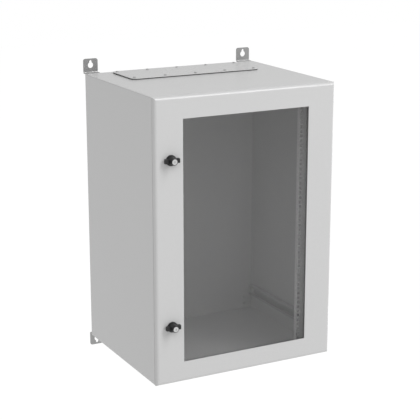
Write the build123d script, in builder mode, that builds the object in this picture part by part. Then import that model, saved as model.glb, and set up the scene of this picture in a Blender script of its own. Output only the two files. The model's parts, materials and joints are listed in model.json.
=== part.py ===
"""Wall-mount data cabinet with a glazed door, built piece by piece.

Frame: +X to the right seen from the front, the door faces -Y, +Z up.
The origin lies midway between the two upper wall keyholes, on the wall plane.
All sizes are in millimetres.
"""

import os

from build123d import *

os.makedirs("parts", exist_ok=True)

# Cabinet, as found from the 19-inch hole columns seen through the window
width = 600.0
height = 860.0
body_depth = 480.0
sheet = 1.5
fold_r = 3.0
edge_r = 2.5

# How it hangs: gap from rear wall to building wall, keyhole height above the roof
stand_off = 23.0
key_rise = 22.5

# Door, and what is left of it above and below the window
door_depth = 10.5
door_gap = 3.5
door_bend_r = 10.0
door_head = 66.0
door_foot = 63.0

# Front flange of the body, the lip behind the door and the seal that meets it
side_flange = 30.0
end_flange = 24.0
lip_height = 6.0
lip_corner_r = 6.0
seal_width = 10.0
seal_clearance = 0.3

# Rack profiles, as 19-inch equipment needs them
unit_pitch = 44.45
column_spacing = 465.1
hole_in_unit = (6.35, 22.225, 38.1)
square_hole = 9.5
hole_from_edge = 7.05
profile_sheet = 2.0
profile_bend_r = 0.3
profile_inset = 78.0
profile_web = 50.0
profile_return = 13.0
profile_end_gap = 12.0
profile_bolt_back = (15.0, 38.0)
channel_nut_thick = 6.0
channel_nut_wide = 18.0
channel_nut_tall = 28.0
channel_screw_past = 2.0

# Depth rails, a C channel open towards the middle of the cabinet
rail_depth = 20.0
rail_tall = 36.0
rail_slot = 20.0
rail_bend_r = 1.5
rail_front = 26.0
rail_back = 24.0
rail_from_end = 72.5

# Window pane and the Z strips that hold it
pane_lap = 13.0
pane_thick = 4.0
pane_corner_r = 3.0
window_seal_thick = 3.0
window_seal_proud = 1.0
strip_sheet = 1.5
strip_bend_r = 0.5
strip_gap = 0.5
strip_foot = 13.0
strip_hold = 9.0
strip_stud_r = 2.0
strip_stud_long = 9.0
strip_stud_edge = 5.0
strip_nut_r = 3.5
strip_nut_thick = 3.2
side_stud_in = 62.0
end_stud_in = 75.0

# Hinges
hinge_from_end = 130.0
hinge_column = 17.0
pin_inset = 6.0
pin_depth = 6.0
pin_r = 2.0
pin_running = 0.06
pin_held = 0.02
pin_past = 2.0
pin_head = 1.5
pin_head_r = 3.2
arm_boss_r = 3.3
arm_leg = 3.6
arm_tall = 16.0
arm_foot_thick = 2.5
arm_foot_tall = 36.0
arm_foot_in = 9.0
arm_screw_from_mid = 12.0
ear_r = 3.4
ear_thick = 2.0
ear_gap = 0.6
ear_root = 4.0
ear_root_in = 2.0
leaf_tall = 48.0
leaf_thick = 2.0
leaf_gap = 0.5
leaf_stud_from_mid = 17.0
leaf_stud_long = 7.0
leaf_nut_r = 4.0
leaf_nut_thick = 4.0
notch_tall = 48.0
notch_skin = 2.2
notch_play = 1.0

# Quarter-turn locks
lock_from_edge = 52.0
lock_from_window_end = 116.0
bush_flange_r = 16.0
bush_flange = 5.0
bush_edge_r = 1.5
bush_tube_r = 9.5
lock_nut_r = 12.0
lock_nut_thick = 5.0
lock_nut_gap = 0.5
shaft_r = 7.0
shaft_running = 0.05
turn_gap = 0.3
knob_base_r = 13.5
knob_front_r = 9.8
knob_long = 20.5
knob_edge_r = 0.8
wing_span = 47.0
wing_thick = 14.0
wing_deep = 9.0
wing_taper = 5.0
wing_corner_r = 1.5
core_r = 8.0
core_deep = 5.0
core_proud = 0.8
core_edge_r = 0.6
key_hole_r = 2.2
key_slit = 7.0
key_slit_wide = 1.8
key_deep = 2.8
cam_gap = 1.5
cam_thick = 2.5
cam_wide = 20.0
cam_reach = 36.0
cam_square = 9.0
cam_play = 0.05
cam_screw_long = 11.0
cam_screw_r = 7.0
cam_hole_past = 1.0

# Cable entry in the roof with its cover plate
gland_from_side = 80.0
gland_d = 160.0
gland_from_rear = 21.0
gland_r = 15.0
gland_sheet = 2.0
gland_seal = 2.5
gland_seal_in = 1.0
gland_screw_end_in = 13.0
gland_screw_side_in = 15.5
gland_screw_past = 8.0
head_taper = 15.0
cable_rim_end = 20.0
cable_rim_side = 30.0
cable_r = 10.0

# Wall brackets
bracket_from_side = 4.0
bracket_w = 48.0
bracket_t = 2.5
bracket_bend_r = 2.0
bracket_leg = 60.0
bracket_rise = 43.0
bracket_corner_r = 7.0
bracket_leg_r = 4.0
key_wide_r = 9.2
key_slot_r = 4.25
key_slot_up = 11.4
bracket_screws_down = (18.0, 42.0)
bracket_screw_past = 7.0
bracket_nut_thick = 5.0

# Earth studs with their washers and nuts
body_earth_from_side = 60.0
body_earth_back = 46.0
body_earth_long = 18.0
body_earth_r = 4.0
body_earth_nut_r = 6.5
body_earth_nut_thick = 6.5
body_washer_r = 8.5
body_washer = 1.6
door_earth_from_side = 50.0
door_earth_up = 100.0
door_earth_long = 14.0
door_earth_nut_thick = 5.0
door_washer_r = 6.4
door_washer = 1.4

# Screws: shank radius, head radius (to the flats on a hexagon), head height
m4_r = 2.0
m4_head_r = 3.5
m4_head = 2.5
m5_r = 2.5
m5_head_r = 4.5
m5_head = 2.8
m6_r = 3.0
m6_head_r = 5.0
m6_head = 4.0
hole_play = 0.25
thread_play = 0.05

# Places worked out once from the sizes above
rear_y = -stand_off
front_y = rear_y - body_depth
door_back_y = front_y - door_gap
door_front_y = door_back_y - door_depth
door_inner_y = door_front_y + sheet
inner_rear_y = rear_y - sheet
inner_front_y = front_y + sheet
top_z = -key_rise
bottom_z = top_z - height
mid_z = (top_z + bottom_z) / 2
inner_x = width / 2 - sheet
lip_x = width / 2 - side_flange
lip_z = height / 2 - end_flange
lip_front_y = front_y - lip_height

# The stile beside the window holds, from its edge inwards, the lock with its nut,
# the foot of the strip and the lap of the pane
stile = lock_from_edge + lock_nut_r + lock_nut_gap + strip_foot + strip_gap + pane_lap
window_w = width - 2 * stile
window_h = height - door_head - door_foot
centre_z = mid_z + (door_foot - door_head) / 2
lock_x = -(width / 2 - lock_from_edge)
lock_from_centre = window_h / 2 - lock_from_window_end

# As many height units as fit between the end flanges, three holes in each
rack_units = int((height - 2 * end_flange) // unit_pitch)
hole_levels = [
    centre_z + (unit - rack_units / 2) * unit_pitch + step
    for unit in range(rack_units)
    for step in hole_in_unit
]
profile_y = door_front_y + profile_inset
rack_opening = column_spacing - 2 * hole_from_edge
profile_bolts = [profile_y + back for back in profile_bolt_back]
rail_face_x = inner_x - rail_depth
rail_front_y = front_y + rail_front
rail_back_y = rear_y - rail_back
rail_levels = (bottom_z + rail_from_end, top_z - rail_from_end)

hinge_zs = (bottom_z + hinge_from_end, top_z - hinge_from_end)
pin_x = width / 2 - pin_inset
pin_y = door_front_y + pin_depth
hinge_screw_x = width / 2 - hinge_column

gland_w = width - 2 * gland_from_side
gland_y = rear_y - gland_from_rear - gland_d / 2
gland_screw_x = gland_w / 2 - gland_screw_end_in
gland_screw_y = gland_d / 2 - gland_screw_side_in
gland_spots = [
    (column * gland_screw_x / 2, gland_y + row * gland_screw_y)
    for column in (-2, -1, 0, 1, 2)
    for row in (-1, 1)
]
cable_w = gland_w - 2 * cable_rim_end
cable_d = gland_d - 2 * cable_rim_side
bracket_x = width / 2 - bracket_from_side - bracket_w / 2
bracket_spots = [
    (side * bracket_x, skin_z - way * down)
    for side in (-1, 1)
    for way, skin_z in ((1, top_z), (-1, bottom_z))
    for down in bracket_screws_down
]


def facing(y):
    """A plane at this depth that looks out of the cabinet's front."""
    return Plane.XZ.offset(-y)


def level(z):
    """A level plane at this height."""
    return Plane.XY.offset(z)


def save(builder, name):
    """Name the piece and write it as its own file."""
    builder.part.label = name
    export_step(builder.part, f"parts/{name}.step")


# Body: one folded and welded box with a front flange and a channel lip
with BuildPart() as body_shell:
    with BuildSketch(facing(rear_y)):
        with Locations((0, mid_z)):
            Rectangle(width, height)
    extrude(amount=body_depth)
    fillet(body_shell.edges().filter_by(Axis.Y), radius=fold_r)
    fillet(body_shell.faces().sort_by(Axis.Y)[-1].edges(), radius=edge_r)
    fillet(body_shell.faces().sort_by(Axis.Y)[0].edges(), radius=edge_r)
    with BuildSketch(facing(inner_rear_y)):
        with Locations((0, mid_z)):
            RectangleRounded(width - 2 * sheet, height - 2 * sheet, fold_r - sheet)
    extrude(amount=body_depth - 2 * sheet, mode=Mode.SUBTRACT)
    with BuildSketch(facing(inner_front_y)):
        with Locations((0, mid_z)):
            RectangleRounded(2 * lip_x, 2 * lip_z, lip_corner_r)
    extrude(amount=sheet, mode=Mode.SUBTRACT)
    with BuildSketch(facing(inner_front_y)):
        with Locations((0, mid_z)):
            RectangleRounded(2 * lip_x, 2 * lip_z, lip_corner_r)
            RectangleRounded(
                2 * (lip_x - sheet), 2 * (lip_z - sheet), lip_corner_r - sheet, mode=Mode.SUBTRACT
            )
    extrude(amount=sheet + lip_height)
    # Cable opening in the roof and its screw holes
    with BuildSketch(level(top_z)):
        with Locations((0, gland_y)):
            RectangleRounded(cable_w, cable_d, cable_r)
        with Locations(gland_spots):
            Circle(m5_r + thread_play)
    extrude(amount=-sheet, mode=Mode.SUBTRACT)
    # Holes for the wall bracket screws
    with BuildSketch(facing(rear_y)):
        with Locations(bracket_spots):
            Circle(m6_r + hole_play)
    extrude(amount=sheet, mode=Mode.SUBTRACT)
    # Holes for the hinge arm screws
    with BuildSketch(facing(inner_front_y)):
        for hinge_z in hinge_zs:
            with Locations(
                (hinge_screw_x, hinge_z - arm_screw_from_mid),
                (hinge_screw_x, hinge_z + arm_screw_from_mid),
            ):
                Circle(m4_r + hole_play)
    extrude(amount=sheet, mode=Mode.SUBTRACT)
save(body_shell, "body_shell")

# Depth rails welded on the side walls, each rolled from one strip with two lips
rail_lip_z = rail_slot / 2
rail_edge_z = (rail_tall - sheet) / 2
for side, side_name in ((-1, "left"), (1, "right")):
    face_x = side * (rail_face_x + sheet / 2)
    wall_x = side * (inner_x - sheet / 2)
    for rail_z, level_name in zip(rail_levels, ("bottom", "top")):
        with BuildPart() as rail:
            with BuildSketch(facing(rail_back_y)):
                with BuildLine():
                    FilletPolyline(
                        (face_x, rail_z + rail_lip_z),
                        (face_x, rail_z + rail_edge_z),
                        (wall_x, rail_z + rail_edge_z),
                        (wall_x, rail_z - rail_edge_z),
                        (face_x, rail_z - rail_edge_z),
                        (face_x, rail_z - rail_lip_z),
                        radius=rail_bend_r + sheet / 2,
                    )
                trace(line_width=sheet)
            extrude(amount=rail_back_y - rail_front_y)
        save(rail, f"rail_{side_name}_{level_name}")

# Upright profiles: a return, the drilled face and a web that lies on the depth rails
profile_tall = height - 2 * profile_end_gap
for side, side_name in ((-1, "left"), (1, "right")):
    return_x = side * (rack_opening + profile_sheet) / 2
    web_x = side * (rail_face_x - profile_sheet / 2)
    with BuildPart() as profile:
        with BuildSketch(level(mid_z - profile_tall / 2)):
            with BuildLine():
                FilletPolyline(
                    (return_x, profile_y + profile_return),
                    (return_x, profile_y + profile_sheet / 2),
                    (web_x, profile_y + profile_sheet / 2),
                    (web_x, profile_y + profile_web),
                    radius=profile_bend_r + profile_sheet / 2,
                )
            trace(line_width=profile_sheet)
        extrude(amount=profile_tall)
        with BuildSketch(facing(profile_y + profile_sheet)):
            with Locations([(side * column_spacing / 2, z) for z in hole_levels]):
                Rectangle(square_hole, square_hole)
        extrude(amount=profile_sheet, mode=Mode.SUBTRACT)
        with BuildSketch(Plane.YZ.offset(side * rail_face_x)):
            with Locations([(y, z) for y in profile_bolts for z in rail_levels]):
                Circle(m6_r + hole_play)
        extrude(amount=-side * profile_sheet, mode=Mode.SUBTRACT)
    save(profile, f"profile_{side_name}")

# Screws and channel nuts that clamp the profiles on the depth rails
with BuildPart() as profile_screws:
    for side in (-1, 1):
        with BuildSketch(Plane.YZ.offset(side * (rail_face_x - profile_sheet))):
            with Locations([(y, z) for y in profile_bolts for z in rail_levels]):
                Circle(m6_r)
        extrude(amount=side * (profile_sheet + sheet + channel_nut_thick + channel_screw_past))
        with BuildSketch(Plane.YZ.offset(side * (rail_face_x - profile_sheet))):
            with Locations([(y, z) for y in profile_bolts for z in rail_levels]):
                Circle(m6_head_r)
        extrude(amount=-side * m6_head)
save(profile_screws, "profile_screws")

with BuildPart() as profile_nuts:
    for side in (-1, 1):
        with BuildSketch(Plane.YZ.offset(side * (rail_face_x + sheet))):
            with Locations([(y, z) for y in profile_bolts for z in rail_levels]):
                Rectangle(channel_nut_wide, channel_nut_tall)
                Circle(m6_r + thread_play, mode=Mode.SUBTRACT)
        extrude(amount=side * channel_nut_thick)
save(profile_nuts, "profile_nuts")

# Door: a folded pan whose four bends meet in welded mitres at the corners.
# Its outside and its hollow have the same form, one sheet thickness apart.
door_forms = []
for inset, back_y in ((0, door_back_y), (sheet, door_back_y + 1)):
    half = width / 2 - inset
    low = bottom_z + inset
    high = top_z - inset
    front = door_front_y + inset
    radius = door_bend_r - inset
    with BuildPart() as door_form:
        with BuildSketch(level(low)):
            with BuildLine():
                Polyline((-half, back_y), (-half, front + radius))
                RadiusArc((-half, front + radius), (-half + radius, front), -radius)
                Polyline((-half + radius, front), (half - radius, front))
                RadiusArc((half - radius, front), (half, front + radius), -radius)
                Polyline((half, front + radius), (half, back_y), (-half, back_y))
            make_face()
        extrude(amount=high - low)
        with BuildSketch(Plane.YZ.offset(-half)):
            with BuildLine():
                Polyline((back_y, low), (front + radius, low))
                RadiusArc((front + radius, low), (front, low + radius), radius)
                Polyline((front, low + radius), (front, high - radius))
                RadiusArc((front, high - radius), (front + radius, high), radius)
                Polyline((front + radius, high), (back_y, high), (back_y, low))
            make_face()
        extrude(amount=2 * half, mode=Mode.INTERSECT)
    door_forms.append(door_form.part)

with BuildPart() as door_panel:
    add(door_forms[0])
    add(door_forms[1], mode=Mode.SUBTRACT)
    with BuildSketch(facing(door_inner_y)):
        with Locations((0, centre_z)):
            Rectangle(window_w, window_h)
        with Locations((lock_x, centre_z - lock_from_centre), (lock_x, centre_z + lock_from_centre)):
            Circle(bush_tube_r + hole_play)
    extrude(amount=sheet, mode=Mode.SUBTRACT)
    # Notches that let the hinge arms pass when the door swings
    with BuildSketch(facing(door_back_y)):
        with Locations([(width / 2, z) for z in hinge_zs]):
            Rectangle(2 * (pin_inset + ear_r + notch_play), notch_tall)
    extrude(amount=door_depth - notch_skin, mode=Mode.SUBTRACT)
save(door_panel, "door_panel")

# Foamed seal on the door's inner face, over the channel lip
seal_x = lip_x - sheet / 2
seal_z = lip_z - sheet / 2
with BuildPart() as door_seal:
    with BuildSketch(facing(door_inner_y)):
        with Locations((0, mid_z)):
            RectangleRounded(
                2 * seal_x + seal_width, 2 * seal_z + seal_width, lip_corner_r + seal_width / 2
            )
            RectangleRounded(
                2 * seal_x - seal_width,
                2 * seal_z - seal_width,
                max(lip_corner_r - seal_width / 2, sheet),
                mode=Mode.SUBTRACT,
            )
    extrude(amount=-(lip_front_y - seal_clearance - door_inner_y))
save(door_seal, "door_seal")

# Window: seal, pane and the strips that hold it from behind
pane_w = window_w + 2 * pane_lap
pane_h = window_h + 2 * pane_lap
pane_front_y = door_inner_y + window_seal_thick
pane_back_y = pane_front_y + pane_thick
with BuildPart() as window_seal:
    with BuildSketch(facing(pane_front_y)):
        with Locations((0, centre_z)):
            Rectangle(pane_w, pane_h)
            Rectangle(
                window_w - 2 * window_seal_proud, window_h - 2 * window_seal_proud, mode=Mode.SUBTRACT
            )
    extrude(amount=window_seal_thick)
save(window_seal, "window_seal")

with BuildPart() as window_pane:
    with BuildSketch(facing(pane_back_y)):
        with Locations((0, centre_z)):
            RectangleRounded(pane_w, pane_h, pane_corner_r)
    extrude(amount=pane_thick)
save(window_pane, "window_pane")

# Each strip is a Z: a foot on the door, a web beside the pane, an edge behind it
strip_web_x = pane_w / 2 + strip_gap
strip_web_z = pane_h / 2 + strip_gap
strip_foot_y = door_inner_y + strip_sheet / 2
strip_edge_y = pane_back_y + strip_sheet / 2
strip_long = 2 * (strip_web_z + strip_foot)
side_stud_pitch = (strip_long / 2 - side_stud_in) / 2
end_stud_pitch = pane_w / 2 - end_stud_in
side_studs = [centre_z + step * side_stud_pitch for step in (-2, -1, 0, 1, 2)]
end_studs = [step * end_stud_pitch for step in (-1, 0, 1)]
stud_x = strip_web_x + strip_foot - strip_stud_edge
stud_z = strip_web_z + strip_foot - strip_stud_edge
for side, side_name in ((-1, "left"), (1, "right")):
    with BuildPart() as strip:
        with BuildSketch(level(centre_z - strip_long / 2)):
            with BuildLine():
                FilletPolyline(
                    (side * (strip_web_x + strip_foot), strip_foot_y),
                    (side * (strip_web_x + strip_sheet / 2), strip_foot_y),
                    (side * (strip_web_x + strip_sheet / 2), strip_edge_y),
                    (side * (strip_web_x - strip_hold), strip_edge_y),
                    radius=strip_bend_r + strip_sheet / 2,
                )
            trace(line_width=strip_sheet)
        extrude(amount=strip_long)
        with BuildSketch(facing(door_inner_y + strip_sheet)):
            with Locations([(side * stud_x, z) for z in side_studs]):
                Circle(strip_stud_r + hole_play)
        extrude(amount=strip_sheet, mode=Mode.SUBTRACT)
    save(strip, f"window_strip_{side_name}")

end_long = 2 * (strip_web_x - strip_hold - strip_gap)
for side, side_name in ((-1, "bottom"), (1, "top")):
    with BuildPart() as strip:
        with BuildSketch(Plane.YZ.offset(-end_long / 2)):
            with BuildLine():
                FilletPolyline(
                    (strip_foot_y, centre_z + side * (strip_web_z + strip_foot)),
                    (strip_foot_y, centre_z + side * (strip_web_z + strip_sheet / 2)),
                    (strip_edge_y, centre_z + side * (strip_web_z + strip_sheet / 2)),
                    (strip_edge_y, centre_z + side * (strip_web_z - strip_hold)),
                    radius=strip_bend_r + strip_sheet / 2,
                )
            trace(line_width=strip_sheet)
        extrude(amount=end_long)
        with BuildSketch(facing(door_inner_y + strip_sheet)):
            with Locations([(x, centre_z + side * stud_z) for x in end_studs]):
                Circle(strip_stud_r + hole_play)
        extrude(amount=strip_sheet, mode=Mode.SUBTRACT)
    save(strip, f"window_strip_{side_name}")

window_stud_spots = [(side * stud_x, z) for side in (-1, 1) for z in side_studs]
window_stud_spots += [(x, centre_z + side * stud_z) for side in (-1, 1) for x in end_studs]
with BuildPart() as window_studs:
    with BuildSketch(facing(door_inner_y)):
        with Locations(window_stud_spots):
            Circle(strip_stud_r)
    extrude(amount=-strip_stud_long)
save(window_studs, "window_studs")

with BuildPart() as window_nuts:
    with BuildSketch(facing(door_inner_y + strip_sheet)):
        with Locations(window_stud_spots):
            RegularPolygon(strip_nut_r, 6, major_radius=False)
            Circle(strip_stud_r + thread_play, mode=Mode.SUBTRACT)
    extrude(amount=-strip_nut_thick)
save(window_nuts, "window_nuts")

# Hinges: an arm on the body's flange, a leaf with two ears on the door, a pin
foot_left = hinge_screw_x - arm_foot_in
foot_right = pin_x + arm_leg / 2
leaf_right = width / 2 - door_bend_r - leaf_gap
leaf_half = leaf_right - hinge_screw_x
root_left = hinge_screw_x - leaf_half + ear_root_in
ear_low = arm_tall / 2 + ear_gap
ear_top = ear_low + ear_thick
for hinge_z, hinge_name in zip(hinge_zs, ("lower", "upper")):
    with BuildPart() as arm:
        with BuildSketch(level(hinge_z - arm_tall / 2)):
            with Locations((pin_x, pin_y)):
                Circle(arm_boss_r)
            with Locations((pin_x, (pin_y + front_y) / 2)):
                Rectangle(arm_leg, front_y - pin_y)
        extrude(amount=arm_tall)
        with BuildSketch(facing(front_y)):
            with Locations(((foot_left + foot_right) / 2, hinge_z)):
                Rectangle(foot_right - foot_left, arm_foot_tall)
        extrude(amount=arm_foot_thick)
        with BuildSketch(level(hinge_z - arm_tall / 2)):
            with Locations((pin_x, pin_y)):
                Circle(pin_r + pin_running)
        extrude(amount=arm_tall, mode=Mode.SUBTRACT)
        with BuildSketch(facing(front_y)):
            with Locations(
                (hinge_screw_x, hinge_z - arm_screw_from_mid),
                (hinge_screw_x, hinge_z + arm_screw_from_mid),
            ):
                Circle(m4_r + thread_play)
        extrude(amount=arm_foot_thick, mode=Mode.SUBTRACT)
    save(arm, f"hinge_arm_{hinge_name}")

    with BuildPart() as leaf:
        with BuildSketch(facing(door_inner_y + leaf_thick)):
            with Locations((hinge_screw_x, hinge_z)):
                Rectangle(2 * leaf_half, leaf_tall)
        extrude(amount=leaf_thick)
        with BuildSketch(level(hinge_z + ear_low), level(hinge_z - ear_top)):
            with Locations((pin_x, pin_y)):
                Circle(ear_r)
            with Locations(
                ((root_left + leaf_right) / 2, door_inner_y + leaf_thick + ear_root / 2)
            ):
                Rectangle(leaf_right - root_left, ear_root)
            make_hull()
        extrude(amount=ear_thick)
        with BuildSketch(level(hinge_z - leaf_tall / 2)):
            with Locations((pin_x, pin_y)):
                Circle(pin_r + pin_held)
        extrude(amount=leaf_tall, mode=Mode.SUBTRACT)
        with BuildSketch(facing(door_inner_y + leaf_thick)):
            with Locations(
                (hinge_screw_x, hinge_z - leaf_stud_from_mid),
                (hinge_screw_x, hinge_z + leaf_stud_from_mid),
            ):
                Circle(m5_r + hole_play)
        extrude(amount=leaf_thick, mode=Mode.SUBTRACT)
    save(leaf, f"hinge_leaf_{hinge_name}")

with BuildPart() as hinge_pins:
    with BuildSketch(*[level(z - ear_top - pin_past) for z in hinge_zs]):
        with Locations((pin_x, pin_y)):
            Circle(pin_r)
    extrude(amount=2 * ear_top + pin_past)
    with BuildSketch(*[level(z + ear_top) for z in hinge_zs]):
        with Locations((pin_x, pin_y)):
            Circle(pin_head_r)
    extrude(amount=pin_head)
save(hinge_pins, "hinge_pins")

arm_screw_spots = [
    (hinge_screw_x, z + way * arm_screw_from_mid) for z in hinge_zs for way in (-1, 1)
]
with BuildPart() as hinge_screws:
    with BuildSketch(facing(inner_front_y)):
        with Locations(arm_screw_spots):
            Circle(m4_r)
    extrude(amount=sheet + arm_foot_thick)
    with BuildSketch(facing(inner_front_y)):
        with Locations(arm_screw_spots):
            Circle(m4_head_r)
    extrude(amount=-m4_head)
save(hinge_screws, "hinge_screws")

leaf_stud_spots = [
    (hinge_screw_x, z + way * leaf_stud_from_mid) for z in hinge_zs for way in (-1, 1)
]
with BuildPart() as hinge_studs:
    with BuildSketch(facing(door_inner_y)):
        with Locations(leaf_stud_spots):
            Circle(m5_r)
    extrude(amount=-leaf_stud_long)
save(hinge_studs, "hinge_studs")

with BuildPart() as hinge_nuts:
    with BuildSketch(facing(door_inner_y + leaf_thick)):
        with Locations(leaf_stud_spots):
            RegularPolygon(leaf_nut_r, 6, major_radius=False)
            Circle(m5_r + thread_play, mode=Mode.SUBTRACT)
    extrude(amount=-leaf_nut_thick)
save(hinge_nuts, "hinge_nuts")

# Locks: a bush through the door, a winged knob with its shaft, a key core, a cam
knob_back_y = door_front_y - bush_flange - turn_gap
knob_front_y = knob_back_y - knob_long
cam_front_y = inner_front_y + cam_gap
cam_back_y = cam_front_y + cam_thick
for way, lock_name in ((-1, "lower"), (1, "upper")):
    lock_z = centre_z + way * lock_from_centre
    with BuildPart() as bush:
        with BuildSketch(facing(door_front_y)):
            with Locations((lock_x, lock_z)):
                Circle(bush_flange_r)
        extrude(amount=bush_flange)
        fillet(bush.faces().sort_by(Axis.Y)[0].edges(), radius=bush_edge_r)
        with BuildSketch(facing(door_front_y)):
            with Locations((lock_x, lock_z)):
                Circle(bush_tube_r)
        extrude(amount=-(cam_front_y - turn_gap - door_front_y))
        with BuildSketch(facing(cam_front_y)):
            with Locations((lock_x, lock_z)):
                Circle(shaft_r + shaft_running)
        extrude(amount=cam_front_y - knob_back_y, mode=Mode.SUBTRACT)
    save(bush, f"{lock_name}_lock_bush")

    with BuildPart() as lock_nut:
        with BuildSketch(facing(door_inner_y)):
            with Locations((lock_x, lock_z)):
                RegularPolygon(lock_nut_r, 6, major_radius=False, rotation=30)
                Circle(bush_tube_r + thread_play, mode=Mode.SUBTRACT)
        extrude(amount=-lock_nut_thick)
    save(lock_nut, f"{lock_name}_lock_nut")

    with BuildPart() as knob:
        with BuildSketch(facing(knob_back_y)):
            with Locations((lock_x, lock_z)):
                Circle(knob_base_r)
        with BuildSketch(facing(knob_front_y)):
            with Locations((lock_x, lock_z)):
                Circle(knob_front_r)
        loft()
        with BuildSketch(facing(knob_back_y)):
            with Locations((lock_x, lock_z)):
                RectangleRounded(wing_span, wing_thick, wing_corner_r)
        extrude(amount=wing_deep, taper=wing_taper)
        fillet(knob.faces().sort_by(Axis.Y)[0].edges(), radius=knob_edge_r)
        with BuildSketch(facing(knob_front_y)):
            with Locations((lock_x, lock_z)):
                Circle(core_r + thread_play)
        extrude(amount=-core_deep, mode=Mode.SUBTRACT)
        with BuildSketch(facing(knob_back_y)):
            with Locations((lock_x, lock_z)):
                Circle(shaft_r)
        extrude(amount=-(cam_front_y - knob_back_y))
        with BuildSketch(facing(cam_front_y)):
            with Locations((lock_x, lock_z)):
                Rectangle(cam_square, cam_square)
        extrude(amount=-cam_thick)
        with BuildSketch(facing(cam_back_y)):
            with Locations((lock_x, lock_z)):
                Circle(m6_r + thread_play)
        extrude(amount=cam_screw_long + cam_hole_past, mode=Mode.SUBTRACT)
    save(knob, f"{lock_name}_lock_knob")

    with BuildPart() as core:
        with BuildSketch(facing(knob_front_y + core_deep)):
            with Locations((lock_x, lock_z)):
                Circle(core_r)
        extrude(amount=core_deep + core_proud)
        fillet(core.faces().sort_by(Axis.Y)[0].edges(), radius=core_edge_r)
        with BuildSketch(facing(knob_front_y - core_proud)):
            with Locations((lock_x, lock_z)):
                Rectangle(key_slit_wide, key_slit)
                Circle(key_hole_r)
        extrude(amount=-key_deep, mode=Mode.SUBTRACT)
    save(core, f"{lock_name}_lock_core")

    with BuildPart() as cam:
        with BuildSketch(facing(cam_back_y)):
            with Locations((lock_x, lock_z + (cam_reach - cam_wide / 2) / 2)):
                SlotOverall(cam_reach + cam_wide / 2, cam_wide, rotation=90)
            with Locations((lock_x, lock_z)):
                Rectangle(cam_square + 2 * cam_play, cam_square + 2 * cam_play, mode=Mode.SUBTRACT)
        extrude(amount=cam_thick)
    save(cam, f"{lock_name}_lock_cam")

    with BuildPart() as cam_screw:
        with BuildSketch(facing(cam_back_y)):
            with Locations((lock_x, lock_z)):
                Circle(m6_r)
        extrude(amount=cam_screw_long)
        with BuildSketch(facing(cam_back_y)):
            with Locations((lock_x, lock_z)):
                RegularPolygon(cam_screw_r, 6, major_radius=False)
        extrude(amount=-m6_head)
    save(cam_screw, f"{lock_name}_cam_screw")

# Cable entry cover on the roof, on a seal and held by ten screws
seal_top_z = top_z + gland_seal
plate_top_z = seal_top_z + gland_sheet
with BuildPart() as gland_gasket:
    with BuildSketch(level(top_z)):
        with Locations((0, gland_y)):
            RectangleRounded(
                gland_w - 2 * gland_seal_in, gland_d - 2 * gland_seal_in, gland_r - gland_seal_in
            )
            RectangleRounded(cable_w, cable_d, cable_r, mode=Mode.SUBTRACT)
        with Locations(gland_spots):
            Circle(m5_r + hole_play, mode=Mode.SUBTRACT)
    extrude(amount=gland_seal)
save(gland_gasket, "top_gland_seal")

with BuildPart() as gland_plate:
    with BuildSketch(level(seal_top_z)):
        with Locations((0, gland_y)):
            RectangleRounded(gland_w, gland_d, gland_r)
        with Locations(gland_spots):
            Circle(m5_r + hole_play, mode=Mode.SUBTRACT)
    extrude(amount=gland_sheet)
save(gland_plate, "top_gland_plate")

with BuildPart() as gland_screws:
    with BuildSketch(level(plate_top_z)):
        with Locations(gland_spots):
            Circle(m5_r)
    extrude(amount=-(gland_sheet + gland_seal + sheet + gland_screw_past))
    with BuildSketch(level(plate_top_z)):
        with Locations(gland_spots):
            Circle(m5_head_r)
    extrude(amount=m5_head, taper=head_taper)
save(gland_screws, "top_gland_screws")

# Wall brackets: the same joggled plate four times, turned over for the lower pair
for way, level_name, skin_z in ((1, "upper", top_z), (-1, "lower", bottom_z)):
    step_z = skin_z - way * bracket_t / 2
    leg_end_z = skin_z - way * bracket_leg
    plate_end_z = skin_z + way * bracket_rise
    key_z = skin_z + way * key_rise
    for side, side_name in ((-1, "left"), (1, "right")):
        with BuildPart() as bracket:
            with BuildSketch(Plane.YZ.offset(side * bracket_x - bracket_w / 2)):
                with BuildLine():
                    FilletPolyline(
                        (rear_y + bracket_t / 2, leg_end_z),
                        (rear_y + bracket_t / 2, step_z),
                        (-bracket_t / 2, step_z),
                        (-bracket_t / 2, plate_end_z),
                        radius=bracket_bend_r + bracket_t / 2,
                    )
                trace(line_width=bracket_t)
            extrude(amount=bracket_w)
            tips = bracket.edges().filter_by(Axis.Y).sort_by(Axis.Z, reverse=way < 0)
            fillet(tips[-2:], radius=bracket_corner_r)
            tips = bracket.edges().filter_by(Axis.Y).sort_by(Axis.Z, reverse=way < 0)
            fillet(tips[:2], radius=bracket_leg_r)
            with BuildSketch(facing(0)):
                with Locations((side * bracket_x, key_z)):
                    Circle(key_wide_r)
                with Locations((side * bracket_x, key_z + way * key_slot_up / 2)):
                    Rectangle(2 * key_slot_r, key_slot_up)
                with Locations((side * bracket_x, key_z + way * key_slot_up)):
                    Circle(key_slot_r)
            extrude(amount=bracket_t, mode=Mode.SUBTRACT)
            with BuildSketch(facing(rear_y + bracket_t)):
                with Locations(bracket_spots):
                    Circle(m6_r + hole_play)
            extrude(amount=bracket_t, mode=Mode.SUBTRACT)
        save(bracket, f"bracket_{level_name}_{side_name}")

with BuildPart() as bracket_screws:
    with BuildSketch(facing(rear_y + bracket_t)):
        with Locations(bracket_spots):
            Circle(m6_r)
    extrude(amount=bracket_t + sheet + bracket_screw_past)
    with BuildSketch(facing(rear_y + bracket_t)):
        with Locations(bracket_spots):
            RegularPolygon(m6_head_r, 6, major_radius=False)
    extrude(amount=-m6_head)
save(bracket_screws, "bracket_screws")

with BuildPart() as bracket_nuts:
    with BuildSketch(facing(inner_rear_y)):
        with Locations(bracket_spots):
            RegularPolygon(m6_head_r, 6, major_radius=False)
            Circle(m6_r + thread_play, mode=Mode.SUBTRACT)
    extrude(amount=bracket_nut_thick)
save(bracket_nuts, "bracket_nuts")

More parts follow.
